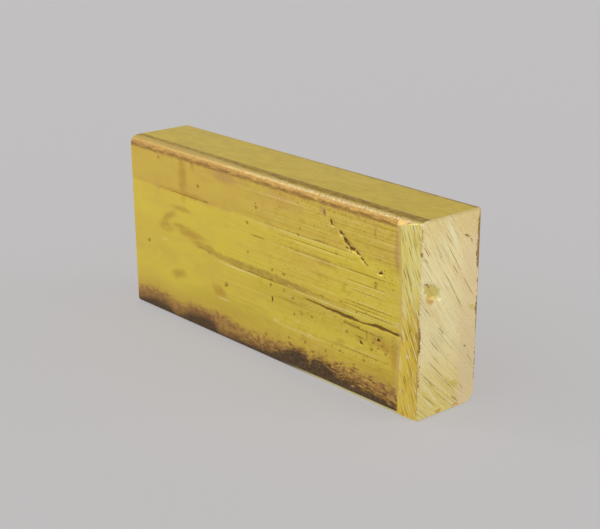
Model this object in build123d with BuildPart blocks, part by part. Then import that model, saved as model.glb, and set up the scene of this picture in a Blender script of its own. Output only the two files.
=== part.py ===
"""A short brass ingot: one length of drawn flat bar, sawn off at both ends, with one corner filed flat.

Millimetres. +Z is up and +X runs along the bar towards its filed end, so the broad front faces -Y.
The origin is under the middle of the bar, on the floor that it stands on.
"""
import os
from math import cos, radians, sin

from build123d import *

# Flat bar of 1 1/2 by 5/8 inch, standing on its narrow side, and the 3 1/2 inch length cut from it
bar_height = 38.1
bar_thickness = 15.875
bar_length = 88.9

# The four long edges are each rounded differently by drawing, handling and dressing
top_front_radius = 1.8
top_back_radius = 0.5
bottom_back_radius = 2.5
bottom_front_radius = 0.8

# The far end was sawn a little out of square, in degrees, so it is longest at the top
far_end_lean = 1.6

# A light file stroke took the sharp saw edge off all the way round both ends
end_edge_break = 0.3

# The flat filed across the front corner of the near end, from top to bottom
facet_length = 4.6
facet_depth = 0.65

front = -bar_thickness / 2
back = bar_thickness / 2
near_end = bar_length / 2
far_end = -bar_length / 2

with BuildPart() as ingot:
    # The bar's section, seen from its near end: local X runs from front to back, local Y is up
    with BuildSketch(Plane.YZ.offset(near_end)) as section:
        Rectangle(bar_thickness, bar_height, align=(Align.CENTER, Align.MIN))
        for corner, radius in (
            ((front, bar_height), top_front_radius),
            ((back, bar_height), top_back_radius),
            ((back, 0), bottom_back_radius),
            ((front, 0), bottom_front_radius),
        ):
            fillet(section.vertices().sort_by_distance(corner)[0], radius)

    # The near end is cut square, and the stock runs on past the far end by one thickness
    extrude(amount=-(bar_length + bar_thickness))

    # The far end's saw cut meets the overall length just under the broken top edge
    saw_start = Vector(far_end, 0, bar_height - end_edge_break)
    out_of_cut = Vector(-cos(radians(far_end_lean)), 0, -sin(radians(far_end_lean)))
    split(bisect_by=Plane(saw_start, x_dir=(0, 1, 0), z_dir=out_of_cut), keep=Keep.BOTTOM)

    # The edges of both ends, broken alike
    near_face = ingot.faces().sort_by(Axis.X)[-1]
    far_face = ingot.faces().sort_by(Axis.X)[0]
    chamfer(near_face.edges() + far_face.edges(), end_edge_break)

    # The filed flat is one upright plane, so it also crosses the rounded long edges
    facet_start = Vector(near_end - facet_length, front)
    facet_finish = Vector(near_end, front + facet_depth)
    along_facet = facet_finish - facet_start
    out_of_facet = along_facet.cross(Vector(0, 0, 1))
    split(bisect_by=Plane(facet_start, x_dir=along_facet, z_dir=out_of_facet), keep=Keep.BOTTOM)

ingot.part.label = "ingot"

os.makedirs("parts", exist_ok=True)
export_step(ingot.part, "parts/ingot.step")
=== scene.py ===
"""A short brass ingot: a length of drawn flat bar, sawn off at both ends and filed bright at the near one.

Everything is in metres in the part's own frame, and marks on a face are given in millimetres. +X runs along
the bar towards its filed end, the broad front faces -Y, and the bar stands on the floor at Z = 0.
"""
from math import atan2, cos, hypot, radians, sin, tan

import bpy
import numpy as np
from mathutils import Matrix, Vector, noise


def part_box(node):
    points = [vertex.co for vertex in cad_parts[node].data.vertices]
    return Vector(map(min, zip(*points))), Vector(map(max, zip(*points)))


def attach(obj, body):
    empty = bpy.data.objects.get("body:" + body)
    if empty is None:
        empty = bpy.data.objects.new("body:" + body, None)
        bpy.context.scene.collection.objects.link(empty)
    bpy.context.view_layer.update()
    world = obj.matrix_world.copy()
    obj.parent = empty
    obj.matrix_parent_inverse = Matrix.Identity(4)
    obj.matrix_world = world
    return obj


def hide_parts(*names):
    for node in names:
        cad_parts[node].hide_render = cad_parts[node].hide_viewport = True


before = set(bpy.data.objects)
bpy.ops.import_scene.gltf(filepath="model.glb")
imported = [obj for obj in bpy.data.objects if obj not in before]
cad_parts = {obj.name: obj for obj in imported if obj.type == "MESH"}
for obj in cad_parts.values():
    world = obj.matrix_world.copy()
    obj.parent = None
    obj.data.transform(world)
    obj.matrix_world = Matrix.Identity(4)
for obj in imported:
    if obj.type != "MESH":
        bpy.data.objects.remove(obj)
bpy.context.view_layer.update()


# The bar
#
# One length of 1 1/2 by 5/8 inch brass flat bar. Drawing it through a die left fine lines along its faces and
# rounded its long edges, each a little differently. Both ends were sawn off and their edges broken, and the
# near end and one corner of it were filed flat with a coarse hand file.
mm = 0.001
lowest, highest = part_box("ingot")
front, back = lowest.y, highest.y
far_end, near_end = lowest.x, highest.x
height = highest.z
edge_break = 0.3 * mm
saw_lean = radians(1.6)

rounded_edges = {
    # Radius, and which way the edge lies from the middle of the bar
    "bottom front": (0.8 * mm, -1, -1),
    "top front": (1.8 * mm, -1, 1),
    "top back": (0.5 * mm, 1, 1),
    "bottom back": (2.5 * mm, 1, -1),
}
rows_round_an_edge = 4


def half_edge(name, start_angle, finish_angle, inset):
    """Points (y, z) round half of a rounded edge, on the section drawn in by inset from the bar's faces."""
    radius, out_y, out_z = rounded_edges[name]
    centre_y = (back if out_y > 0 else front) - out_y * radius
    centre_z = (height if out_z > 0 else 0) - out_z * radius
    angles = np.radians(np.linspace(start_angle, finish_angle, rows_round_an_edge + 1))
    reach = radius - inset
    return np.column_stack([centre_y + reach * np.cos(angles), centre_z + reach * np.sin(angles)])


def long_side(start, finish, rows, inset):
    """One side of the section, from the middle of one rounded edge to the middle of the next."""
    first = half_edge(*start, inset)
    last = half_edge(*finish, inset)
    steps = np.linspace(0, 1, rows + 1)[1:-1, None]
    return np.vstack([first, first[-1] + (last[0] - first[-1]) * steps, last])


def section(front_rows, top_rows, back_rows, bottom_rows, inset=0):
    """The four sides of the bar's section: front and back run upwards, top and bottom run to the back."""
    return (
        long_side(("bottom front", 225, 180), ("top front", 180, 135), front_rows, inset),
        long_side(("top front", 135, 90), ("top back", 90, 45), top_rows, inset),
        long_side(("bottom back", 315, 360), ("top back", 0, 45), back_rows, inset),
        long_side(("bottom front", 225, 270), ("bottom back", 270, 315), bottom_rows, inset),
    )


# The flat filed across the front corner of the near end. The file rocked a little, so the line where it meets
# the front is a shallow bow: (height on the bar, distance along the bar).
facet_depth = 0.65 * mm
facet_bow = (
    (0, 39.7), (5, 39.8), (11, 40.05), (16, 40.45),
    (19, 40.5), (27, 40.25), (32, 39.8), (38.1, 39.4),
)


def facet_line(z):
    heights, distances = zip(*facet_bow)
    return np.interp(z / mm, heights, distances) * mm


def facet_cut(x, z):
    """How far back from the front the filed flat lies at a place on the bar."""
    start = facet_line(z)
    return facet_depth * np.clip((x - start) / (near_end - start), 0, 1)


# Cross-sections along the bar, set closer together on the filed flat, where the file's grooves are
body_steps, facet_steps = 250, 30


def lengthwise(y, z, step):
    """Where a cross-section passes (y, z) along the bar. Sections shift to meet the filed flat's edge."""
    far = far_end + (height - edge_break - z) * tan(saw_lean) + edge_break
    near = near_end - edge_break
    start = facet_line(z)
    crossing = np.minimum(start + (near_end - start) * (y - front) / facet_depth, near - 1.2 * mm)
    if step <= body_steps:
        return far + (crossing - far) * step / body_steps
    return crossing + (near - crossing) * (step - body_steps) / facet_steps


DRAWN, FACET, FILED, SAWN = range(4)
points, faces, face_finish = [], [], []


def add_points(places):
    first = len(points)
    points.extend(map(tuple, places))
    return list(range(first, len(points)))


def add_face(finish, *corners):
    faces.append(corners)
    face_finish.append(finish)


front_side, top_side, back_side, bottom_side = section(118, 20, 22, 9)
outline = np.vstack([front_side, top_side[1:], back_side[-2::-1], bottom_side[-2:0:-1]])
rows_on_flat = len(front_side) + rows_round_an_edge
sections = []
for step in range(body_steps + facet_steps + 1):
    x = lengthwise(outline[:, 0], outline[:, 1], step)
    y = np.maximum(outline[:, 0], front + facet_cut(x, outline[:, 1]))
    sections.append(add_points(np.column_stack([x, y, outline[:, 1]])))
for step, (here, there) in enumerate(zip(sections, sections[1:])):
    for row in range(len(outline)):
        up = (row + 1) % len(outline)
        on_flat = step >= body_steps and row < rows_on_flat and outline[row][0] < front + facet_depth
        add_face(FACET if on_flat else DRAWN, here[row], there[row], there[up], here[up])


def end_face(finish, rows, columns, distance, start_at):
    """An end as a fine grid of its own, drawn in by the broken edge. Returns the ring of points round it."""
    front_side, top_side, back_side, bottom_side = section(rows, columns, rows, columns, edge_break)
    across = np.linspace(0, 1, len(top_side))[None, :, None]
    upward = np.linspace(0, 1, len(front_side))[:, None, None]
    grid = front_side[:, None] * (1 - across) + back_side[:, None] * across
    grid = grid + bottom_side[None] * (1 - upward) + top_side[None] * upward
    grid = grid - (bottom_side[0] * (1 - across) + bottom_side[-1] * across) * (1 - upward)
    grid = grid - (top_side[0] * (1 - across) + top_side[-1] * across) * upward
    y, z = grid[..., 0], grid[..., 1]
    start = y[:, :1]
    y = y + np.maximum(start_at - start, 0) * (back - y) / (back - start)
    index = np.array(add_points(np.stack([distance(z), y, z], -1).reshape(-1, 3))).reshape(y.shape)
    for low, high in zip(index.tolist(), index.tolist()[1:]):
        for a, b, c, d in zip(low, low[1:], high[1:], high):
            add_face(finish, *((a, b, c, d) if finish == FILED else (d, c, b, a)))
    ring = [index[:, 0], index[-1, 1:], index[-2::-1, -1], index[0, -2:0:-1]]
    return np.concatenate(ring).tolist()


def close_edge(finish, ring, loop):
    """The broken edge between an end's ring and the bar's last section, which has fewer points."""
    def progress(numbers):
        places = np.array([points[n][1:] for n in numbers])
        steps = np.linalg.norm(np.roll(places, -1, 0) - places, axis=1)
        return np.append(0, np.cumsum(steps) / steps.sum())

    ring_progress, loop_progress = progress(ring), progress(loop)
    i = j = 0
    while i < len(ring) or j < len(loop):
        on_ring, on_loop = ring[i % len(ring)], loop[j % len(loop)]
        if j == len(loop) or (i < len(ring) and ring_progress[i + 1] <= loop_progress[j + 1]):
            i += 1
            corners = (on_ring, ring[i % len(ring)], on_loop)
        else:
            j += 1
            corners = (on_ring, loop[j % len(loop)], on_loop)
        add_face(finish, *(corners if finish == FILED else corners[::-1]))


near_ring = end_face(FILED, 226, 94, lambda z: np.full_like(z, near_end), front + facet_depth)
far_ring = end_face(SAWN, 84, 34, lambda z: far_end + (height - edge_break - z) * tan(saw_lean), front)
close_edge(FILED, near_ring, sections[-1])
close_edge(SAWN, far_ring, sections[0])

bar_mesh = bpy.data.meshes.new("brass_bar")
bar_mesh.from_pydata(points, [], faces)
bar_mesh.polygons.foreach_set("material_index", face_finish)
bar_mesh.validate()

# Marks on the front, in millimetres along and up the bar: start, finish and width. The die and grit left fine
# lines along the bar, and the knocks are small dents that have filled with dirt.
fine_lines = (
    ((-8.0, 28.5), (40.0, 28.5), 0.26),
    ((14.5, 28.45), (21.5, 28.7), 0.5),
    ((16.0, 28.55), (20.0, 28.7), 0.5),
    ((0.0, 27.3), (33.0, 27.2), 0.26),
    ((-4.0, 25.1), (3.0, 25.1), 0.42),
    ((2.0, 25.15), (28.0, 25.2), 0.36),
    ((18.0, 25.15), (43.0, 25.15), 0.44),
    ((22.0, 23.1), (40.0, 23.1), 0.24),
    ((23.0, 21.4), (40.0, 21.4), 0.22),
    ((22.0, 18.95), (42.0, 18.9), 0.34),
    ((20.0, 18.3), (41.0, 18.2), 0.36),
    ((22.0, 17.5), (43.0, 17.4), 0.40),
    ((13.5, 15.95), (25.0, 15.75), 0.55),
    ((22.5, 14.2), (37.0, 13.95), 0.55),
    ((23.5, 14.35), (30.5, 14.2), 0.8),
    ((-13.0, 17.1), (14.0, 16.95), 0.6),
    ((-34.0, 28.65), (-14.0, 28.6), 0.36),
    ((4.0, 14.25), (15.0, 14.1), 0.36),
    ((20.0, 9.35), (40.0, 9.25), 0.28),
    ((27.8, 12.55), (31.6, 12.35), 0.5),
    ((31.4, 14.8), (31.45, 12.1), 0.45),
    ((-18.8, 28.65), (-16.2, 28.7), 0.6),
)
knocks = (
    ((23.8, 32.0), (24.3, 31.4), 1.1),
    ((24.1, 31.5), (24.9, 31.6), 0.6),
    ((25.0, 30.8), (25.8, 30.1), 1.6),
    ((25.8, 30.2), (26.6, 29.5), 1.0),
    ((26.5, 29.5), (27.5, 29.0), 1.4),
    ((27.4, 29.2), (28.0, 29.5), 0.6),
    ((28.0, 28.9), (29.2, 28.6), 0.9),
    ((29.6, 28.1), (30.1, 27.7), 0.8),
    ((30.1, 27.7), (30.9, 27.3), 0.5),
    ((25.2, 29.3), (26.3, 28.9), 0.5),
    ((19.3, 35.1), (19.4, 34.0), 1.0),
    ((21.2, 33.6), (21.5, 32.7), 0.9),
    ((21.6, 32.7), (22.2, 32.6), 0.5),
    ((34.3, 26.3), (35.1, 26.6), 1.1),
    ((4.0, 13.8), (4.1, 12.3), 0.8),
    ((29.7, 11.7), (30.3, 11.2), 1.0),
    ((34.2, 13.4), (34.9, 13.2), 0.9),
)
flecks = (
    # Distance along the bar, height and width
    (31.2, 27.1, 0.7), (19.9, 32.1, 0.6), (35.6, 12.5, 0.9), (32.6, 10.9, 0.8), (36.6, 11.2, 0.9),
    (37.0, 9.4, 0.7), (19.0, 17.7, 1.1), (12.9, 12.4, 0.7), (14.0, 6.8, 0.9), (9.2, 6.3, 0.8),
    (9.5, 4.9, 1.1), (24.2, 8.0, 0.7), (30.6, 8.2, 0.7), (19.9, 6.8, 0.7), (-1.0, 31.1, 1.1),
    (-1.0, 32.0, 0.6), (-3.7, 27.3, 1.0), (-3.6, 21.2, 0.6), (11.8, 28.4, 0.8), (7.5, 19.2, 1.0),
    (4.0, 19.3, 0.9), (7.6, 16.0, 1.0), (3.6, 16.0, 0.8), (10.3, 15.0, 0.7), (10.7, 11.7, 0.8),
    (-20.0, 31.6, 1.1), (-34.0, 35.2, 0.7), (-10.8, 12.2, 1.6), (-7.2, 4.1, 1.2), (2.0, 4.9, 1.0),
    (33.5, 24.2, 1.0), (33.5, 23.5, 0.8), (22.8, 27.3, 0.6), (12.4, 29.8, 0.7), (-38.2, 15.5, 1.3),
    (26.0, 12.6, 0.7), (24.2, 18.0, 0.6), (28.6, 17.2, 0.7), (31.0, 17.8, 0.6), (16.0, 12.6, 0.8),
    (29.2, 14.3, 0.7), (33.2, 12.4, 0.8), (34.4, 11.6, 0.7), (31.6, 9.2, 0.6),
)
# Soft brown smears of dirt wiped along the front, and places where the same wiping left the brass bright
smears = (
    ((-25.6, 38.5), (-25.2, 26.5), 4.0),
    ((-22.0, 37.4), (-21.6, 34.6), 2.0),
    ((-29.4, 20.9), (-17.0, 20.1), 3.2),
    ((-29.5, 21.2), (-23.0, 20.9), 2.4),
    ((-32.6, 21.6), (-28.8, 23.6), 3.0),
    ((-34.0, 20.4), (-29.6, 20.2), 3.4),
    ((-29.6, 9.8), (-25.0, 10.9), 3.2),
    ((-28.9, 10.0), (-26.2, 10.6), 2.0),
    ((-15.0, 10.8), (-11.4, 9.8), 3.4),
    ((-38.0, 28.8), (-12.0, 28.8), 1.6),
    ((-30.0, 25.3), (-22.0, 25.2), 1.8),
    ((-27.0, 25.3), (-24.0, 25.2), 1.4),
    ((-24.6, 19.4), (-12.0, 18.4), 1.8),
    ((38.6, 13.0), (38.8, 8.8), 3.4),
    ((33.0, 13.4), (38.0, 12.0), 3.4),
    ((17.0, 24.6), (23.0, 24.5), 2.0),
    ((33.4, 34.6), (33.4, 32.8), 1.2),
    ((24.6, 31.0), (28.6, 28.8), 2.0),
)
bright_wipes = (
    ((-19.0, 16.7), (6.0, 16.7), 0.9),
    ((-7.0, 16.7), (1.0, 16.7), 0.9),
    ((0.0, 16.7), (44.0, 16.65), 0.7),
    ((3.9, 8.9), (6.4, 8.9), 1.0),
    ((11.2, 10.4), (12.6, 10.6), 0.9),
    ((-15.5, 8.8), (-8.0, 8.8), 0.7),
    ((22.0, 22.75), (41.0, 22.75), 0.32),
    ((23.0, 21.8), (40.0, 21.8), 0.42),
    ((22.0, 19.4), (42.0, 19.35), 0.36),
    ((24.0, 17.9), (42.0, 17.85), 0.30),
    ((-4.0, 24.7), (42.0, 24.75), 0.34),
    ((1.0, 26.9), (34.0, 26.85), 0.36),
    ((13.5, 8.7), (17.5, 8.7), 0.5),
    ((22.0, 9.6), (38.0, 9.5), 0.30),
    ((-34.0, 17.0), (-30.5, 17.2), 0.5),
)
# Dirt dragged along the front by something hard: distance along the bar, height, width, and how dark it is
dragged = (
    (-24, 18.6, 0.8, 0.0), (-19, 18.2, 1.4, 0.45), (-13, 17.9, 1.7, 0.60), (-8, 17.8, 1.9, 0.85),
    (-2, 17.8, 1.7, 0.80), (3, 17.8, 1.9, 1.0), (8, 17.7, 1.7, 0.85), (14, 17.6, 1.5, 0.60),
    (20, 17.5, 1.3, 0.30), (28, 17.6, 1.2, 0.0),
)
score = (
    (13, 16.0, 0.34, 0.0), (15, 15.95, 0.59, 0.6), (21, 15.75, 0.68, 0.7), (23.5, 15.65, 0.94, 1.0),
    (26, 15.6, 1.1, 1.0), (28.2, 15.5, 0.94, 1.0), (29.4, 15.45, 0.51, 0.8), (32, 15.6, 0.59, 0.9),
    (33.6, 15.85, 0.94, 1.0), (35, 15.95, 1.02, 1.0), (37, 15.9, 0.85, 1.0), (38.5, 15.75, 0.77, 1.0),
    (39.6, 15.7, 0.94, 1.0), (41, 15.7, 0.85, 1.0),
)

# Strokes of the file on the near end: distance from the middle and height. The long ones cut deepest.
# The dark ones are coloured with painted shade in their grooves
end_shaded_strokes = (
    ((-1.2, 33.4), (3.6, 26.0), 0.34),
    ((0.4, 29.2), (2.4, 26.2), 0.30),
    ((3.0, 26.6), (7.0, 20.8), 0.30),
    ((-2.2, 28.9), (2.8, 21.2), 0.34),
    ((1.6, 22.8), (3.6, 19.8), 0.36),
    ((-4.3, 34.0), (-1.6, 29.8), 0.26),
    ((-7.3, 34.2), (-5.2, 30.9), 0.34),
    ((-6.8, 31.6), (-5.6, 30.0), 0.26),
    ((-5.2, 11.6), (-0.4, 6.6), 0.32),
    ((-0.8, 6.9), (2.6, 3.2), 0.30),
    ((-5.0, 7.6), (-3.4, 6.0), 0.40),
    ((-2.6, 17.6), (-0.8, 15.4), 0.36),
    ((-5.4, 16.2), (-1.6, 11.8), 0.28),
    ((-7.2, 9.8), (-2.4, 5.2), 0.28),
    ((-6.8, 5.6), (-2.0, 1.2), 0.30),
    ((1.4, 2.8), (3.5, 1.1), 0.60),
    ((3.6, 4.8), (4.8, 3.0), 0.26),
    ((5.2, 10.6), (7.2, 7.6), 0.24),
    ((-6.6, 22.4), (-4.2, 19.4), 0.28),
)
# The bright ones are coloured with painted highlights on their lips
end_highlight_strokes = (
    ((-1.8, 28.9), (3.1, 21.2), 0.50),
    ((-1.4, 28.0), (1.6, 23.4), 0.40),
    ((-1.6, 38.6), (2.8, 30.4), 1.5),
    ((0.0, 31.8), (3.2, 27.0), 0.45),
    ((-4.0, 34.0), (-1.2, 29.6), 0.36),
    ((-5.6, 17.0), (-1.4, 12.0), 0.40),
    ((-2.4, 21.4), (2.6, 15.2), 0.45),
    ((-1.0, 22.4), (0.8, 20.0), 0.40),
    ((-4.2, 14.2), (-1.0, 10.8), 0.40),
    ((-7.4, 8.4), (-2.6, 3.4), 0.46),
    ((-7.2, 5.4), (-2.8, 1.2), 0.42),
    ((-5.0, 8.4), (0.4, 3.2), 0.34),
    ((-3.0, 10.4), (1.2, 6.0), 0.34),
    ((-0.6, 8.4), (2.4, 5.2), 0.30),
    ((-7.0, 19.6), (-4.6, 16.8), 0.44),
    ((-6.8, 16.0), (-4.2, 13.0), 0.40),
    ((-7.2, 31.0), (-5.6, 28.8), 0.80),
    ((-4.4, 25.4), (-1.6, 21.8), 0.60),
    ((0.2, 18.8), (3.2, 15.4), 0.34),
)
# A dent in the near end, with a spot of orange at its lower rim
end_dent = ((-5.9, 25.6), (-3.2, 23.9), 3.2)

# Grooves of the coarse file across the filed flat, leaning 19 degrees: distance along the bar and height
facet_lean = radians(19)
facet_grooves = (
    ((40.0, 36.4), (41.1, 33.2), 0.46),
    ((40.9, 36.6), (42.4, 32.2), 0.42),
    ((42.0, 36.6), (43.4, 32.8), 0.42),
    ((43.0, 36.2), (43.9, 33.6), 0.34),
    ((40.5, 30.2), (41.3, 27.8), 0.34),
    ((40.8, 26.4), (41.8, 23.4), 0.44),
    ((42.8, 29.6), (43.9, 26.4), 0.30),
    ((43.2, 21.8), (44.3, 17.8), 0.44),
    ((42.2, 19.6), (43.4, 15.6), 0.34),
    ((42.0, 9.6), (43.2, 5.8), 0.44),
    ((43.2, 9.0), (44.3, 5.4), 0.44),
    ((42.6, 6.4), (43.6, 3.0), 0.36),
    ((41.4, 12.8), (42.5, 9.4), 0.30),
    ((43.4, 14.4), (44.3, 11.2), 0.34),
)
# Bright strokes on the flat, coloured with painted highlights
facet_highlight_strokes = (
    ((40.4, 29.8), (42.4, 23.4), 0.34),
    ((40.8, 28.8), (42.0, 25.0), 0.30),
    ((41.8, 31.6), (43.0, 27.8), 0.42),
    ((41.4, 36.2), (42.7, 32.2), 0.34),
    ((42.6, 34.0), (43.8, 30.4), 0.34),
    ((40.6, 22.8), (42.0, 18.2), 0.50),
    ((42.2, 24.8), (43.4, 20.8), 0.34),
    ((40.4, 16.2), (41.6, 12.2), 0.40),
    ((40.0, 8.6), (41.4, 3.8), 0.50),
    ((41.4, 6.2), (42.6, 2.2), 0.40),
    ((43.4, 4.8), (44.3, 1.4), 0.50),
    ((41.6, 14.6), (42.8, 10.8), 0.30),
)


def cut(along, up, start, finish, width):
    """How deep one tapering mark goes at each place, as a share of its full depth."""
    run, rise = finish[0] - start[0], finish[1] - start[1]
    length = hypot(run, rise)
    middle_x, middle_z = (start[0] + finish[0]) / 2, (start[1] + finish[1]) / 2
    lengthwise = ((along - middle_x) * run + (up - middle_z) * rise) / length
    sideways = ((up - middle_z) * run - (along - middle_x) * rise) / length
    return np.clip(1 - np.hypot(lengthwise / (length / 2 + width / 2), sideways / (width / 2)), 0, 1)


def file_grooves(across, along, pitch, seed):
    """Grooves of uneven depth, one pitch apart: sharp in the bottom and flat on the land between."""
    waves = [noise.noise(Vector((a / pitch, b, seed))) for a, b in zip(across, along)]
    return np.clip(0.5 - 1.6 * np.abs(waves), 0, 0.5) * 2


# How deep each kind of mark goes into the brass, and how far apart grooves and ridges are, in millimetres
knock_depth = 0.12
fleck_depth = 0.04
score_depth = 0.06
drag_depth = 0.02
flat_groove_depth = 0.020
flat_groove_pitch = 0.55
flat_stroke_depth = 0.025
end_groove_depth = 0.010
end_groove_pitch = 0.6
end_stroke_depth = 0.008
end_dent_depth = 0.18
saw_ridge_depth = 0.05
saw_ridge_pitch = 0.9

count = len(bar_mesh.vertices)
place, facing = np.empty(count * 3), np.empty(count * 3)
bar_mesh.vertices.foreach_get("co", place)
bar_mesh.vertices.foreach_get("normal", facing)
place, facing = place.reshape(-1, 3), facing.reshape(-1, 3)
x, y, z = (place / mm).T
sunk = np.zeros(count)

on_front = (facing[:, 1] < -0.98) & (x < facet_line(z * mm) / mm + 0.3)
# A fixed draw, so that the marks have the same uneven edges on every run
noise.seed_set(3)
uneven = np.array([noise.noise_vector(Vector(spot) * 1.6) for spot in place[on_front] / mm])
along, up = x[on_front] + 0.3 * uneven[:, 0], z[on_front] + 0.3 * uneven[:, 2]
for mark in knocks:
    sunk[on_front] += knock_depth * cut(along, up, *mark)
for distance, height_on_bar, width in flecks:
    reach = np.hypot(along - distance, up - height_on_bar) / width * 2
    sunk[on_front] += fleck_depth * np.clip(1 - reach, 0, 1)
for table, depth in ((score, score_depth), (dragged, drag_depth)):
    distance, height_on_bar, width, share = zip(*table)
    off = np.abs(up - np.interp(along, distance, height_on_bar)) / np.interp(along, distance, width) * 2
    sunk[on_front] += depth * np.interp(along, distance, share) * np.clip(1 - off, 0, 1)

on_facet = (facing[:, 1] < -0.9) & (x > facet_line(z * mm) / mm)
across = x * cos(facet_lean) + z * sin(facet_lean)
along = (z * cos(facet_lean) - x * sin(facet_lean)) / 5
sunk[on_facet] += flat_groove_depth * file_grooves(across[on_facet], along[on_facet], flat_groove_pitch, 3.7)
for mark in facet_grooves + facet_highlight_strokes:
    sunk[on_facet] += flat_stroke_depth * cut(x[on_facet], z[on_facet], *mark)

# The hand swung as it filed the end, so its strokes lie flatter up to 20 mm and are straight above that
stroke_slope = 1.18
stroke_bend = 0.01175
upper_slope = 0.71
bend_height = 20.0
on_end = facing[:, 0] > 0.95
low = np.minimum(z, bend_height)
across = y + stroke_slope * low - stroke_bend * low * low + upper_slope * (z - low)
sunk[on_end] += end_groove_depth * file_grooves(across[on_end], z[on_end] / 9, end_groove_pitch, 8.1)
for mark in end_shaded_strokes + end_highlight_strokes:
    sunk[on_end] += end_stroke_depth * cut(y[on_end], z[on_end], *mark)
uneven = np.array([noise.noise_vector(Vector(spot) * 0.9) for spot in place[on_end] / mm])
across, up = y[on_end] + 0.7 * uneven[:, 1], z[on_end] + 0.7 * uneven[:, 2]
sunk[on_end] += end_dent_depth * np.minimum(cut(across, up, *end_dent), 0.4)

# The round saw left shallow ridges on the far end, in arcs about where its shaft was: (y, z)
saw_shaft = (-60.0, 15.0)
on_far = facing[:, 0] < -0.95
sweep = np.hypot(y[on_far] - saw_shaft[0], z[on_far] - saw_shaft[1])
sunk[on_far] += saw_ridge_depth * file_grooves(sweep, z[on_far] / 40, saw_ridge_pitch, 5.3)

bar_mesh.vertices.foreach_set("co", (place - facing * sunk[:, None] * mm).ravel())
bar_mesh.update()
bar_mesh.shade_smooth()
bar_mesh.set_sharp_from_angle(angle=radians(28))


def new_step(kind, *values):
    """A new node in the finish that the earlier steps among values belong to."""
    tree = next(value.id_data for value in values if isinstance(value, bpy.types.NodeSocket))
    return tree.nodes.new("ShaderNode" + kind)


def put(value, socket):
    """Joins an earlier step to a node's socket, or sets a number or a colour on it."""
    if isinstance(value, bpy.types.NodeSocket):
        value.id_data.links.new(value, socket)
    elif value is not None:
        socket.default_value = value


def node(kind, *values, output=0, **settings):
    """One step in working up a finish. Its values go on its sockets in order."""
    made = new_step(kind, *values)
    for name, value in settings.items():
        setattr(made, name, value)
    for socket, value in zip(made.inputs, values):
        put(value, socket)
    return made.outputs[output]


def plus(first, second):
    return node("Math", first, second, operation="ADD")


def minus(first, second):
    return plus(first, times(second, -1.0))


def times(first, *others):
    for other in others:
        first = node("Math", first, other, operation="MULTIPLY")
    return first


def sway(value, amount):
    """A grain turned into a shift to either side, with amount between its two ends."""
    return times(plus(value, -0.5), amount)


def most(first, *others):
    for other in others:
        first = node("Math", first, other, operation="MAXIMUM")
    return first


def fade(value, start, finish):
    """Nothing before start, all of it after finish, and smooth between."""
    return node("MapRange", value, start, finish, 0.0, 1.0, interpolation_type="SMOOTHSTEP")


def band(value, first, last, soft):
    """All of it from first to last, fading over soft on both sides."""
    rising = fade(value, first - soft, first)
    return times(rising, fade(value, last + soft, last))


def grain(where, size, detail=2.0, roughness=0.5):
    """Irregular light and dark, about size millimetres from one to the next along X, Y and Z."""
    scaled = node("VectorMath", where, tuple(1 / s for s in size), operation="MULTIPLY")
    return node("TexNoise", scaled, None, 1.0, detail, roughness)


def tint(amount, under, over):
    """Colour over laid on colour under by amount."""
    made = new_step("Mix", amount)
    made.data_type = "RGBA"
    for number, value in ((0, amount), (6, under), (7, over)):
        put(value, made.inputs[number])
    return made.outputs[2]


def marks(on_face, placed):
    """All of a list of tapering marks: 1 down the middle of each, fading to 0 at its edges."""
    together = None
    for start, finish, width in placed:
        run, rise = finish[0] - start[0], finish[1] - start[1]
        middle = ((start[0] + finish[0]) / 2, (start[1] + finish[1]) / 2, 0)
        reach = (hypot(run, rise) / 2 + width / 2, width / 2, 1)
        fitted = node("Mapping", on_face, middle, (0, 0, atan2(rise, run)), reach, vector_type="TEXTURE")
        one = node("TexGradient", fitted, gradient_type="SPHERICAL", output=1)
        together = one if together is None else most(together, one)
    return together


def ragged(mark, roughening, start, finish):
    """A mark whose edge is broken up by a grain."""
    worn = plus(mark, sway(roughening, 1.3))
    return times(fade(worn, start, finish), fade(mark, 0.0, 0.12))


def apart(vector):
    """A place's X, Y and Z."""
    made = new_step("SeparateXYZ", vector)
    put(vector, made.inputs[0])
    return tuple(made.outputs)


def brass(name):
    """A new brass: its material and shader, and where a point lies on the bar in millimetres."""
    material = bpy.data.materials.new(name)
    material.use_nodes = True
    tree = material.node_tree
    shader = tree.nodes["Principled BSDF"]
    shader.inputs["Metallic"].default_value = 1
    where = tree.nodes.new("ShaderNodeTexCoord").outputs["Object"]
    where = node("VectorMath", where, (1000, 1000, 1000), operation="MULTIPLY")
    return material, shader, where


def finish_off(shader, colour, roughness, relief, depth):
    put(colour, shader.inputs["Base Color"])
    put(roughness, shader.inputs["Roughness"])
    put(node("Bump", 1.0, depth, None, relief), shader.inputs["Normal"])


def wandering(where, size, reach):
    """Places moved a little to and fro, about size millimetres from one shift to the next."""
    moved = node("TexNoise", where, None, 1 / size, 3.0, 0.6, output=1)
    moved = node("VectorMath", moved, (0.5, 0.5, 0.5), operation="SUBTRACT")
    moved = node("VectorMath", moved, reach, operation="MULTIPLY")
    return node("VectorMath", where, moved, operation="ADD")


def along_bar(distance, table, column, most_of_it):
    """A value that follows one column of a table of places along the bar."""
    first, last = table[0][0], table[-1][0]
    made = new_step("ValToRGB", distance)
    put(node("MapRange", distance, first, last, 0.0, 1.0), made.inputs[0])
    ramp = made.color_ramp
    while len(ramp.elements) < len(table):
        ramp.elements.new(0.5)
    for stop, entry in zip(ramp.elements, table):
        stop.position = (entry[0] - first) / (last - first)
        stop.color = (entry[column] / most_of_it,) * 3 + (1,)
    return times(made.outputs[0], most_of_it)


def drag_mark(distance, up, table):
    """A mark dragged along the bar: 1 down its middle where it is darkest, fading to 0 at its edges."""
    off = minus(up, along_bar(distance, table, 1, 38.1))
    off = node("Math", off, operation="ABSOLUTE")
    off = node("Math", off, times(along_bar(distance, table, 2, 4.0), 0.5), operation="DIVIDE")
    return times(most(plus(times(off, -1.0), 1.0), 0.0), along_bar(distance, table, 3, 1.0))


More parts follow.
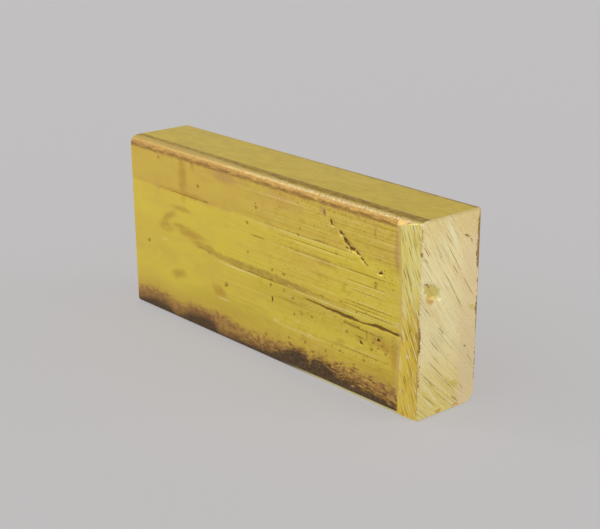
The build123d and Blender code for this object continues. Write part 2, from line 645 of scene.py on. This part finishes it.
# Drawn brass, as the long faces have it: yellow where it was wiped, warmer and browner along top and bottom
yellow_brass = (0.88, 0.700, 0.092, 1)
smear_brown = (0.60, 0.34, 0.055, 1)
warm_brass = (0.73, 0.480, 0.110, 1)
# A lighter brass for the top face: painted light, making up for the darker light that falls on it
top_brass_painted_lighter = (1.0, 0.775, 0.102, 1)
# Pale colours for the highlight along the top front edge, painted into its colour
edge_highlight_brass = (0.90, 0.69, 0.29, 1)
far_edge_highlight_brass = (0.90, 0.64, 0.20, 1)
# A darker tone that dims the edge's highlight towards the far end: painted shade
dull_edge_shade_brass = (0.58, 0.40, 0.12, 1)
# Painted glints: sparkles in the edge's highlight, and a spot at the filed corner
glint = (1.0, 0.90, 0.66, 1)
brown_dirt = (0.16, 0.085, 0.025, 1)
black_dirt = (0.058, 0.034, 0.012, 1)
knock_dirt = (0.12, 0.060, 0.013, 1)
olive_shadow = (0.38, 0.255, 0.025, 1)
brown_shadow = (0.36, 0.20, 0.025, 1)
brown_tarnish = (0.46, 0.255, 0.020, 1)
red_tarnish = (0.46, 0.26, 0.075, 1)
pink_tarnish = (0.60, 0.37, 0.13, 1)
# Bright scuffed metal, also used for the painted reflection along the bottom edge
scuffed_bright_and_reflection = (1.0, 0.90, 0.42, 1)
burnished_brass = (0.82, 0.60, 0.22, 1)

drawn, shader, where = brass("drawn brass")
x, y, z = apart(where)
on_front = fade(y, -6.6, -7.4)
on_back = fade(y, 6.9, 7.7)
on_broad = most(on_front, on_back)
face_place = node("CombineXYZ", x, z, 0.0)
soft_x, _, soft_z = apart(wandering(where, 1.8, (2.0, 0.0, 1.3)))
soft_place = node("CombineXYZ", soft_x, soft_z, 0.0)
rough_x, _, rough_z = apart(wandering(where, 0.55, (0.9, 0.0, 0.9)))
rough_place = node("CombineXYZ", rough_x, rough_z, 0.0)
broad = grain(where, (22, 9, 7), 3.0)
cloud = grain(where, (6, 3, 3), 3.0)
mottle = grain(where, (2.4, 1.5, 1.3), 4.0, 0.65)
fine = grain(where, (0.7, 0.4, 0.4), 3.0, 0.7)
grit = grain(where, (0.55, 0.55, 0.45), 2.0, 0.7)
streaky = grain(where, (3.0, 0.5, 0.5), 4.0, 0.7)
clumpy = grain(where, (1.8, 1.0, 1.0), 3.0, 0.6)
towards_near = plus(fade(x, -22, 24), 0.08)
skin_shows = plus(times(towards_near, plus(times(on_back, -0.5), 1.0)), times(on_back, 0.35))

# A warmer tone above a faint line high on the front, and low down, and duller where hands and dirt have been
dull_places = (
    ((-6, 14.5), (38, 14), 8),
    ((22, 13.5), (46, 13), 5),
    ((-26, 8), (10, 8), 6),
    ((30, 7), (46, 6.5), 4),
)
top_strip = times(fade(plus(z, sway(cloud, 2.0)), 27.9, 29.0), on_front)
low_strip = fade(plus(z, times(broad, 8.0)), 13.0, 7.0)
warmth = plus(times(top_strip, plus(times(towards_near, -0.15), 0.55)), times(low_strip, 0.35))
warmth = plus(warmth, times(fade(broad, 0.42, 0.66), 0.30))
warmth = times(plus(warmth, times(fade(cloud, 0.45, 0.70), 0.18)), on_broad)
on_top = fade(z, 37.9, 38.05)
# The top face gets the lighter brass: painted light
colour = tint(on_top, yellow_brass, top_brass_painted_lighter)
colour = tint(times(fade(mottle, 0.42, 0.66), on_top, 0.13), colour, brown_tarnish)
colour = tint(times(fade(cloud, 0.60, 0.40), on_top, 0.08), colour, olive_shadow)
colour = tint(warmth, colour, warm_brass)
dulled = times(fade(marks(soft_place, dull_places), 0.0, 0.6), on_broad, 0.16)
colour = tint(dulled, colour, olive_shadow)
worn_skin = times(skin_shows, plus(times(on_broad, 0.24), 0.04))
colour = tint(times(fade(mottle, 0.48, 0.28), worn_skin), colour, olive_shadow)
colour = tint(times(fade(mottle, 0.52, 0.74), worn_skin, 0.6), colour, scuffed_bright_and_reflection)

# The die's lines show most towards the near end, where the surface is in better condition
lines = grain(where, (110, 0.62, 0.62), 2.0, 0.5)
hair_lines = grain(where, (45, 0.30, 0.30), 2.0, 0.6)
patchy = fade(grain(where, (14, 2.4, 2.4), 2.0), 0.36, 0.62)
on_skin = times(skin_shows, plus(times(on_broad, 0.60), 0.40))
shown = times(patchy, on_skin)
colour = tint(times(fade(lines, 0.58, 0.70), shown, 0.36), colour, scuffed_bright_and_reflection)
colour = tint(times(fade(lines, 0.40, 0.26), shown, 0.38), colour, olive_shadow)
colour = tint(times(fade(hair_lines, 0.56, 0.74), on_skin, 0.15), colour, scuffed_bright_and_reflection)
colour = tint(times(fade(hair_lines, 0.44, 0.26), on_skin, 0.30), colour, olive_shadow)

smeared = times(marks(soft_place, smears), on_front)
smeared = times(fade(smeared, 0.0, 0.75), plus(times(fade(mottle, 0.3, 0.6), 0.5), 0.5))
colour = tint(times(smeared, 0.66), colour, smear_brown)
drag = times(drag_mark(x, soft_z, dragged), on_front)
drag = times(fade(drag, 0.0, 0.50), plus(times(fade(mottle, 0.35, 0.6), 0.5), 0.5))
colour = tint(times(drag, 0.60), colour, red_tarnish)
colour = tint(times(drag, fade(streaky, 0.44, 0.62), 0.40), colour, brown_shadow)
wiped = ragged(times(marks(face_place, bright_wipes), on_front), fine, 0.25, 0.85)
colour = tint(times(wiped, 0.55), colour, scuffed_bright_and_reflection)
line = times(marks(face_place, fine_lines), on_front)
colour = tint(times(ragged(line, fine, 0.15, 0.65), 0.70), colour, brown_shadow)
score_z = plus(z, sway(mottle, 0.9))
scored = times(drag_mark(x, score_z, score), on_front)
colour = tint(times(fade(scored, 0.0, 0.40), 0.70), colour, brown_shadow)
core_of_score = fade(plus(scored, times(fine, 0.9)), 0.74, 1.15)
colour = tint(times(core_of_score, 0.82), colour, brown_dirt)
knock = times(marks(rough_place, knocks), on_front)
raised_rim = times(band(knock, 0.12, 0.22, 0.1), fade(fine, 0.46, 0.60))
colour = tint(times(raised_rim, 0.75), colour, scuffed_bright_and_reflection)
colour = tint(times(ragged(knock, grit, 0.10, 0.55), 0.62), colour, brown_shadow)
colour = tint(times(ragged(knock, grit, 0.42, 0.72), 0.92), colour, knock_dirt)
fleck_places = [((x0 - 0.15, z0), (x0 + 0.15, z0), width) for x0, z0, width in flecks]
fleck = times(ragged(marks(rough_place, fleck_places), grit, 0.15, 0.65), on_front)
colour = tint(times(fleck, 0.72), colour, brown_shadow)

# Specks of tarnish in the skin of the metal, thickest towards the near end
specks = fade(grain(where, (0.60, 0.4, 0.45), 2.0, 0.5), 0.64, 0.72)
speck_places = fade(grain(where, (7, 5, 4), 3.0), 0.44, 0.60)
specks = times(specks, speck_places, on_skin)
colour = tint(times(specks, 0.9), colour, brown_shadow)

# Round the top front edge: a reddish line of old tarnish below it, a pale band on it painted as its
# highlight, with painted sparkles and dimmed by painted shade towards the far end, and a brown band above.
# Over-the-edge distance grows up the front, round the edge and on across the top.
over_edge = plus(y, z)
edge_place = plus(over_edge, sway(streaky, 0.7))
towards_far = fade(x, 14, -34)
front_half = fade(y, 0.0, -2.5)
upper_place = plus(edge_place, times(towards_far, -0.8))
# The pale band where the edge's highlight falls: painted highlight
bare_edge_highlight = times(fade(edge_place, 29.0, 29.7), fade(upper_place, 31.5, 30.5), front_half)
edge_highlight_colour = tint(towards_far, edge_highlight_brass, far_edge_highlight_brass)
colour = tint(times(bare_edge_highlight, plus(times(streaky, 0.4), 0.7)), colour, edge_highlight_colour)
# Painted sparkles of light and dark grains in the edge's highlight
highlight_sparks = times(bare_edge_highlight, plus(times(towards_near, 0.8), 0.2))
colour = tint(times(highlight_sparks, fade(grit, 0.54, 0.64), 0.9), colour, glint)
colour = tint(times(highlight_sparks, fade(grit, 0.44, 0.32), 0.6), colour, red_tarnish)
# Painted shade dimming the edge's highlight, patchily, towards the far end
highlight_dimming_shade = times(band(edge_place, 29.2, 30.3, 0.5), front_half, towards_far, plus(times(mottle, 1.0), 0.2))
colour = tint(highlight_dimming_shade, colour, dull_edge_shade_brass)
red_line = times(band(edge_place, 28.55, 29.5, 0.75), front_half)
red_line = times(red_line, plus(times(fade(streaky, 0.3, 0.6), 0.3), 0.7))
colour = tint(times(red_line, 0.85), colour, red_tarnish)
broken = plus(times(fade(fine, 0.44, 0.64), 0.45), 0.22)
colour = tint(times(red_line, broken), colour, brown_dirt)
red_specks = times(fade(z, 32.5, 36.3), on_front, fade(clumpy, 0.40, 0.56), fade(fine, 0.50, 0.62))
colour = tint(times(red_specks, plus(towards_near, 0.3), 0.45), colour, red_tarnish)
thin_line = times(band(edge_place, 28.7, 28.95, 0.35), front_half, fade(streaky, 0.36, 0.54))
colour = tint(times(thin_line, 0.55), colour, brown_dirt)
top_band = times(fade(upper_place, 30.8, 31.6), fade(plus(upper_place, times(towards_far, 0.5)), 33.4, 32.7))
top_band = times(top_band, front_half, plus(times(towards_far, -0.12), 0.85))
top_band = times(top_band, plus(times(fade(clumpy, 0.36, 0.60), 0.4), 0.68))
colour = tint(times(top_band, 0.85), colour, brown_tarnish)
colour = tint(times(top_band, fade(clumpy, 0.50, 0.66), towards_near, 0.8), colour, red_tarnish)
colour = tint(times(top_band, fade(streaky, 0.45, 0.65), 0.45), colour, brown_dirt)
back_edge = fade(plus(over_edge, times(plus(streaky, clumpy), 1.1)), 46.0, 46.6)
back_edge = times(back_edge, plus(towards_near, 0.25))
colour = tint(times(back_edge, 0.65), colour, brown_shadow)
pink_places = (
    ((-15, 35.4), (-7.5, 35.0), 3.2),
    ((18.6, 35.6), (19.4, 34.0), 2.0),
    ((39.2, 37), (39.2, 27), 2.4),
)
pinkish = times(fade(marks(soft_place, pink_places), 0.0, 0.7), on_front)
colour = tint(times(pinkish, 0.60), colour, pink_tarnish)
from_flat = plus(minus(x, along_bar(z, facet_bow, 1, 42.0)), sway(mottle, 0.8))
burnished = times(band(from_flat, -0.45, 1.0, 0.55), on_front)
colour = tint(times(burnished, 0.60), colour, burnished_brass)

# Dirt from standing in the wet, along the bottom front edge. How far up it reaches, from the far end to the
# near one: distance along the bar, height of the black, height of its brown fringe.
stain_reach = (
    (-44, 0.8, 3.6), (-40, 1.7, 4.8), (-36, 2.4, 5.0), (-31.5, 2.0, 4.8), (-29, 0.8, 4.0), (-26.5, 1.2, 4.0),
    (-24, 2.4, 4.9), (-18, 3.1, 5.2), (-15.2, 2.6, 5.2), (-14, 1.0, 5.6), (-11, 0.9, 5.4), (-6, 1.3, 4.4),
    (0, 1.3, 4.3), (4, 1.8, 4.4), (8, 3.0, 4.8), (11, 4.1, 5.2), (14, 4.1, 5.2), (15.3, 2.4, 4.6),
    (16.5, 4.1, 5.2), (20, 3.8, 5.0), (22, 2.7, 5.4), (28, 2.1, 5.9), (34, 1.8, 5.8), (40, 1.6, 5.4),
)
stain_brown = (0.50, 0.28, 0.10, 1)
stain_red = (0.36, 0.16, 0.06, 1)
stain_dark = (0.22, 0.11, 0.038, 1)
crumb_brown = (0.30, 0.17, 0.08, 1)
worn_black = (0.11, 0.058, 0.022, 1)
pale_brown = (0.86, 0.64, 0.34, 1)
clumps = grain(where, (1.5, 1.0, 1.0), 3.0, 0.6)
blots = grain(where, (1.7, 0.6, 0.5), 3.0, 0.65)
under_edge = minus(z, most(plus(y, 7.9), 0.0))
unevenness = times(plus(blots, -0.5), plus(times(towards_near, -2.3), -0.3))
clumpiness = plus(times(towards_near, -2.2), -1.6)
unevenness = plus(unevenness, sway(clumps, clumpiness))
loose = plus(under_edge, unevenness)
fringe_height = along_bar(x, stain_reach, 2, 6.0)
over_fringe = minus(fringe_height, loose)
over_core = minus(along_bar(x, stain_reach, 1, 6.0), plus(under_edge, times(unevenness, 0.45)))
in_stain = fade(y, 0.0, -6.0)
# A bright strip along the bottom rounding, free of the stain: painted reflection of the floor
bare_lip_reflection = times(fade(z, 0.82, 0.58), fade(x, 6, 20))
fringe = times(fade(over_fringe, -0.6, 1.5), in_stain)
inner = times(fade(over_core, -2.0, 0.2), in_stain)
soft_core = fade(over_core, -0.7, 0.9)
core = times(tint(towards_near, soft_core, fade(over_core, -0.15, 0.35)), in_stain)
above = times(fade(over_fringe, -4.5, 1.0), in_stain, on_front, plus(times(mottle, 0.8), 0.3))
colour = tint(times(above, 0.45), colour, smear_brown)
thinner = plus(times(towards_near, fade(clumpy, 0.62, 0.44), -0.55), 0.85)
colour = tint(times(fringe, thinner), colour, stain_brown)
colour = tint(times(fringe, fade(clumps, 0.44, 0.60), 0.65), colour, stain_red)
colour = tint(times(inner, 0.55), colour, stain_dark)
blot_share = times(fade(plus(blots, times(inner, 0.10)), 0.54, 0.64), towards_near)
colour = tint(times(fringe, blot_share, 0.90), colour, brown_dirt)
pale_flecks = times(fade(blots, 0.38, 0.30), fringe, towards_near)
colour = tint(times(pale_flecks, 0.7), colour, pale_brown)
core_colour = tint(fade(clumps, 0.46, 0.64), black_dirt, worn_black)
colour = tint(times(core, 0.92), colour, core_colour)
crumbs = times(core, fade(grit, 0.54, 0.68), towards_near)
colour = tint(times(crumbs, 0.45), colour, crumb_brown)
# Painted reflection along the bottom edge
colour = tint(times(bare_lip_reflection, 0.9), colour, scuffed_bright_and_reflection)

dirty = times(most(times(fringe, blot_share, 0.5), core), plus(times(bare_lip_reflection, -1.0), 1.0))
metal = plus(1.0, times(dirty, -0.6))
put(metal, shader.inputs["Metallic"])
relief = times(plus(times(hair_lines, 0.6), times(lines, 0.8)), plus(skin_shows, 0.1))
relief = plus(relief, times(fine, 0.08))
relief = plus(relief, times(highlight_sparks, fine, 0.8))
relief = plus(relief, times(line, -0.2))
relief = plus(relief, times(scored, -0.9))
relief = plus(relief, times(knock, -1.2))
shine = plus(times(broad, 0.16), 0.36)
shine = plus(shine, times(bare_edge_highlight, 0.04))
shine = plus(shine, times(dirty, 0.30))
finish_off(shader, colour, shine, relief, 0.00003)

# Filed brass on the flat: fresh and pale high up, more orange below, where the file hardly reached
pale_brass = (1.0, 0.87, 0.26, 1)
orange_brass = (1.0, 0.72, 0.10, 1)
shaded_brass = (0.60, 0.40, 0.08, 1)
groove_shadow = (0.54, 0.37, 0.07, 1)
# Painted highlights on the lips of the file's grooves
groove_lip_highlight = (1.0, 0.95, 0.54, 1)
orange_lip_highlight = (1.0, 0.88, 0.36, 1)
burr_brown = (0.55, 0.31, 0.08, 1)

facet, shader, where = brass("filed flat")
x, y, z = apart(where)
face_place = node("CombineXYZ", x, z, 0.0)
leaned = node("VectorRotate", where, (0, 0, 0), (0, 1, 0), facet_lean, rotation_type="AXIS_ANGLE")
grooves = grain(leaned, (0.32, 4, 5.0), 2.0, 0.55)
broad = grain(where, (3, 3, 5), 2.0)
fine = grain(where, (0.5, 0.5, 0.7), 3.0, 0.7)
worked = fade(grain(where, (1.6, 2, 3), 3.0, 0.6), 0.38, 0.60)
turning = plus(z, times(broad, 14.0))
colour = tint(fade(turning, 20, 34), orange_brass, pale_brass)
shaded = times(fade(plus(x, times(broad, 1.6)), 42.4, 44.2), fade(turning, 32, 24))
colour = tint(times(shaded, 0.22), colour, shaded_brass)
# Painted shade in the file's grooves and painted highlights on their lips and on the bright strokes
groove_light_and_shade = plus(times(worked, 0.75), 0.28)
lip_highlight = tint(fade(turning, 18, 30), orange_lip_highlight, groove_lip_highlight)
colour = tint(times(fade(grooves, 0.52, 0.62), groove_light_and_shade), colour, lip_highlight)
colour = tint(times(fade(grooves, 0.48, 0.38), groove_light_and_shade), colour, groove_shadow)
highlight_strokes = ragged(marks(face_place, facet_highlight_strokes), fine, 0.15, 0.75)
colour = tint(times(highlight_strokes, 0.50), colour, lip_highlight)
deep = marks(face_place, facet_grooves)
colour = tint(times(ragged(deep, fine, 0.15, 0.65), 0.55), colour, groove_shadow)

# Old tarnish and burrs left along its two upright edges, a nick with bright metal in it, and a painted glint
# at its top corner, where the highlight on the rounded edge ends
rough_x, _, rough_z = apart(wandering(where, 0.7, (0.7, 0.0, 0.9)))
rough_place = node("CombineXYZ", rough_x, rough_z, 0.0)
burrs = (
    ((44.15, 20.5), (44.25, 12.0), 0.9),
    ((44.15, 13.0), (44.25, 2.0), 0.85),
    ((44.1, 34.6), (44.2, 31.6), 0.6),
    ((42.9, 20.3), (43.1, 20.0), 0.4),
    ((43.6, 17.1), (43.7, 16.8), 0.4),
    ((39.9, 15.6), (40.6, 15.4), 0.9),
)
burr = ragged(marks(rough_place, burrs), fine, 0.1, 0.5)
colour = tint(times(burr, 0.65), colour, burr_brown)
nick_and_glint_places = (((41.6, 12.5), (41.9, 12.0), 0.9), ((44.0, 37.6), (44.3, 37.3), 1.2))
nick_and_glint = ragged(marks(rough_place, nick_and_glint_places), fine, 0.1, 0.5)
colour = tint(times(nick_and_glint, 0.75), colour, glint)
shine = plus(times(broad, 0.12), 0.34)
finish_off(shader, colour, shine, plus(grooves, times(deep, -0.3)), 0.00004)

# Filed brass on the near end: cream, turning a little pink towards the back and yellower low down
cream_brass = (1.0, 0.87, 0.465, 1)
pink_brass = (0.92, 0.75, 0.42, 1)
low_brass = (0.92, 0.765, 0.25, 1)
golden_brass = (0.84, 0.66, 0.26, 1)
dent_brass = (0.66, 0.53, 0.07, 1)
orange_spot = (0.72, 0.43, 0.10, 1)
# Painted shade in the file's strokes and painted highlights on their lips
stroke_shadow = (0.54, 0.40, 0.12, 1)
stroke_lip_highlight = (1.0, 0.93, 0.60, 1)
deep_stroke_shade = (0.46, 0.27, 0.05, 1)
old_tarnish = (0.38, 0.19, 0.05, 1)

filed, shader, where = brass("filed end")
x, y, z = apart(where)
face_place = node("CombineXYZ", y, z, 0.0)
low = node("Math", z, bend_height, operation="MINIMUM")
swing = plus(times(low, stroke_slope), times(low, low, -stroke_bend))
swing = plus(swing, times(minus(z, low), upper_slope))
stroke_place = node("CombineXYZ", plus(y, swing), 0.0, z)
plus_turn = node("CombineXYZ", plus(plus(y, times(z, 0.16)), swing), 4.0, z)
strokes = grain(stroke_place, (0.36, 1, 9), 2.0, 0.55)
stray_strokes = grain(plus_turn, (0.30, 1, 5), 2.0, 0.55)
wide_strokes = grain(stroke_place, (1.8, 1, 12), 3.0)
broad = grain(where, (4, 4, 7), 3.0)
patches = fade(grain(where, (3, 2.4, 4), 3.0), 0.38, 0.62)
fine = grain(where, (0.5, 0.35, 0.35), 3.0, 0.7)
colour = tint(fade(plus(z, times(broad, 6.0)), 18, 7), cream_brass, low_brass)
pinkness = plus(y, sway(wide_strokes, 7.0))
pinkness = plus(pinkness, sway(broad, 6.0))
pinkness = plus(pinkness, times(fade(z, 33, 37), 3.0))
pinkness = most(fade(pinkness, 0.5, 5.0), times(fade(y, 3.0, 3.7), fade(z, 19, 13)))
colour = tint(pinkness, colour, pink_brass)
golden = times(fade(plus(z, times(broad, 5.0)), 32, 39), 0.6)
golden = plus(golden, times(fade(wide_strokes, 0.52, 0.68), 0.35))
colour = tint(golden, colour, golden_brass)
gentler = times(plus(times(fade(y, 4.0, 1.5), 0.8), 0.2), plus(times(patches, 0.8), 0.2))
# The strokes and the fine pits: painted highlights on their lips and painted shade in them
colour = tint(times(fade(strokes, 0.54, 0.64), gentler, 0.90), colour, stroke_lip_highlight)
colour = tint(times(fade(strokes, 0.45, 0.35), gentler, 0.60), colour, stroke_shadow)
colour = tint(times(fade(stray_strokes, 0.60, 0.70), gentler, 0.60), colour, stroke_lip_highlight)
colour = tint(times(fade(stray_strokes, 0.40, 0.30), gentler, 0.60), colour, stroke_shadow)
pits = grain(where, (0.45, 0.40, 0.40), 2.0, 0.7)
colour = tint(times(fade(pits, 0.60, 0.70), 0.40), colour, stroke_shadow)
colour = tint(times(fade(pits, 0.40, 0.30), 0.45), colour, stroke_lip_highlight)
highlight_strokes = marks(face_place, end_highlight_strokes)
colour = tint(times(ragged(highlight_strokes, fine, 0.1, 0.75), 0.75), colour, stroke_lip_highlight)
shaded_strokes = marks(face_place, end_shaded_strokes)
colour = tint(times(ragged(shaded_strokes, fine, 0.1, 0.60), 0.72), colour, deep_stroke_shade)
_, rough_y, rough_z = apart(wandering(where, 0.9, (0.0, 1.3, 1.3)))
rough_place = node("CombineXYZ", rough_y, rough_z, 0.0)
dent = fade(marks(rough_place, (end_dent,)), 0.12, 0.42)
colour = tint(times(dent, plus(times(fine, 0.6), 0.4)), colour, dent_brass)
smudge_places = (
    ((1.0, 5.4), (3.0, 4.8), 1.8),
    ((-4.4, 6.6), (-3.6, 6.0), 1.0),
    ((5.4, 20.0), (7.4, 18.4), 1.4),
)
smudges = marks(rough_place, smudge_places)
colour = tint(times(ragged(smudges, fine, 0.0, 0.6), 0.45), colour, dent_brass)
orange_places = (
    ((-5.8, 23.7), (-4.5, 22.7), 1.7),
    ((-2.6, 0.8), (-1.2, 0.7), 0.8),
    ((1.8, 0.8), (3.6, 0.7), 0.5),
    ((-7.5, 37.0), (-7.3, 35.0), 0.7),
    ((-7.7, 14.0), (-7.6, 4.0), 0.5),
)
orange = marks(rough_place, orange_places)
colour = tint(times(ragged(orange, fine, 0.0, 0.5), 0.80), colour, orange_spot)

# Old tarnish that the file left in the broken edge at the back, and low down in front
oxide = (
    ((7.55, 37.6), (7.5, 30.6), 1.3),
    ((7.5, 33.0), (7.45, 27.0), 1.4),
    ((7.6, 28.4), (7.5, 27.2), 1.1),
    ((7.7, 26.9), (7.7, 25.9), 0.6),
    ((7.7, 24.6), (7.7, 23.2), 0.6),
    ((7.7, 21.6), (7.7, 20.6), 0.6),
    ((7.5, 20.2), (7.6, 17.4), 1.2),
    ((7.75, 27.0), (7.75, 10.6), 0.7),
    ((7.75, 13.8), (7.8, 3.4), 0.7),
    ((-7.3, 32.2), (-7.2, 31.8), 0.4),
    ((-7.4, 19.0), (-7.35, 13.0), 0.5),
    ((-7.4, 12.0), (-7.35, 6.0), 0.45),
    ((4.65, 12.0), (4.85, 11.9), 0.45),
    ((3.5, 33.8), (5.0, 33.1), 0.4),
    ((5.2, 32.9), (5.5, 31.9), 0.4),
    ((-6.4, 26.6), (-5.0, 25.6), 0.4),
)
old = ragged(marks(rough_place, oxide), fine, 0.05, 0.45)
colour = tint(times(old, 0.85), colour, old_tarnish)
colour = tint(times(old, fade(fine, 0.50, 0.60), 0.75), colour, knock_dirt)
shine = plus(times(broad, 0.14), 0.36)
finish_off(shader, colour, shine, plus(strokes, times(shaded_strokes, -0.1)), 0.00003)

# Sawn brass on the far end, left as the blade cut it and dulled since
dull_sawn_brass = (0.84, 0.66, 0.17, 1)
bright_sawn_brass = (0.90, 0.75, 0.22, 1)
sawn, shader, where = brass("sawn end")
x, y, z = apart(where)
sweep = node("VectorMath", where, (far_end / mm, *saw_shaft), output=1, operation="DISTANCE")
ridges = grain(node("CombineXYZ", sweep, 0.0, z), (0.26, 1, 20), 2.0, 0.6)
broad = grain(where, (4, 4, 6), 3.0)
smudge = grain(where, (3, 2.0, 2.6), 4.0, 0.6)
colour = tint(fade(broad, 0.35, 0.65), dull_sawn_brass, bright_sawn_brass)
colour = tint(times(fade(smudge, 0.58, 0.78), 0.3), colour, red_tarnish)
# Painted shade between the saw's ridges and painted highlights on them
colour = tint(times(fade(ridges, 0.46, 0.34), 0.50), colour, groove_shadow)
colour = tint(times(fade(ridges, 0.55, 0.66), 0.60), colour, groove_lip_highlight)
finish_off(shader, colour, plus(times(broad, 0.2), 0.32), ridges, 0.00004)

for finish in (drawn, facet, filed, sawn):
    bar_mesh.materials.append(finish)

bar = bpy.data.objects.new("brass_bar", bar_mesh)
bpy.context.collection.objects.link(bar)
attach(bar, "root")
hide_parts("ingot")


# The floor
#
# A plain pale grey studio floor, wide enough to fill every view. It is lit from below as well, like a light
# table, so the bar's shadow hardly shows on it.
floor_mesh = bpy.data.meshes.new("floor")
floor_mesh.from_pydata([(-4, -4, 0), (4, -4, 0), (4, 4, 0), (-4, 4, 0)], [], [(0, 1, 2, 3)])
floor_paint = bpy.data.materials.new("floor paint")
floor_paint.use_nodes = True
floor_shader = floor_paint.node_tree.nodes["Principled BSDF"]
floor_shader.inputs["Base Color"].default_value = (0.185, 0.180, 0.182, 1)
floor_shader.inputs["Roughness"].default_value = 0.9
floor_shader.inputs["Emission Color"].default_value = (0.352, 0.343, 0.343, 1)
floor_shader.inputs["Emission Strength"].default_value = 1.0
floor_mesh.materials.append(floor_paint)
floor = bpy.data.objects.new("floor", floor_mesh)
bpy.context.collection.objects.link(floor)


# The light
#
# One very wide soft light from above the camera, a lamp high on the left that the rounded top edge mirrors,
# and one low on each side for the front and the filed end to mirror. The walls are paler than the ceiling.
room = bpy.data.worlds.new("studio")
room.use_nodes = True
wall_grey = (0.53, 0.515, 0.52, 1)
ceiling_grey = (0.24, 0.235, 0.24, 1)
x, y, z = apart(room.node_tree.nodes.new("ShaderNodeTexCoord").outputs["Generated"])
put(tint(fade(z, 0.46, 0.70), wall_grey, ceiling_grey), room.node_tree.nodes["Background"].inputs["Color"])
bpy.context.scene.world = room


def face_the_bar(light, place):
    light.location = place
    light.rotation_euler = (Vector((0, 0, 0.02)) - Vector(place)).to_track_quat("-Z", "Y").to_euler()


def soft_lamp(name, place, size, power):
    lamp = bpy.data.lights.new(name, "AREA")
    lamp.shape = "DISK"
    lamp.size = size
    lamp.energy = power
    light = bpy.data.objects.new(name, lamp)
    bpy.context.collection.objects.link(light)
    face_the_bar(light, place)


main_lamp = bpy.data.lights.new("main lamp", "SUN")
main_lamp.energy = 1.4
main_lamp.angle = radians(130)
main = bpy.data.objects.new("main lamp", main_lamp)
bpy.context.collection.objects.link(main)
face_the_bar(main, (0.55, -0.55, 1.0))

soft_lamp("left lamp", (-1.5, -0.85, 1.15), 0.6, 3.4)
soft_lamp("low left lamp", (-1.4, -1.4, 0.4), 1.2, 7.3)
soft_lamp("low right lamp", (1.5, 1.2, 0.45), 1.2, 11)
bpy.context.scene.view_settings.view_transform = "Standard"


# The camera
#
# It looks down the bar from its near front corner, as the photograph does.
optics = bpy.data.cameras.new("camera")
optics.lens = 84.39
optics.sensor_width = 36
optics.clip_start = 0.01
camera = bpy.data.objects.new("camera", optics)
bpy.context.collection.objects.link(camera)
camera.matrix_world = (
    Matrix.Translation((0.20746, -0.17821, 0.10879))
    @ Matrix.Rotation(radians(48.8756), 4, "Z")
    @ Matrix.Rotation(radians(90 - 18.43), 4, "X")
    @ Matrix.Rotation(radians(0.0865), 4, "Z")
)
bpy.context.scene.camera = camera
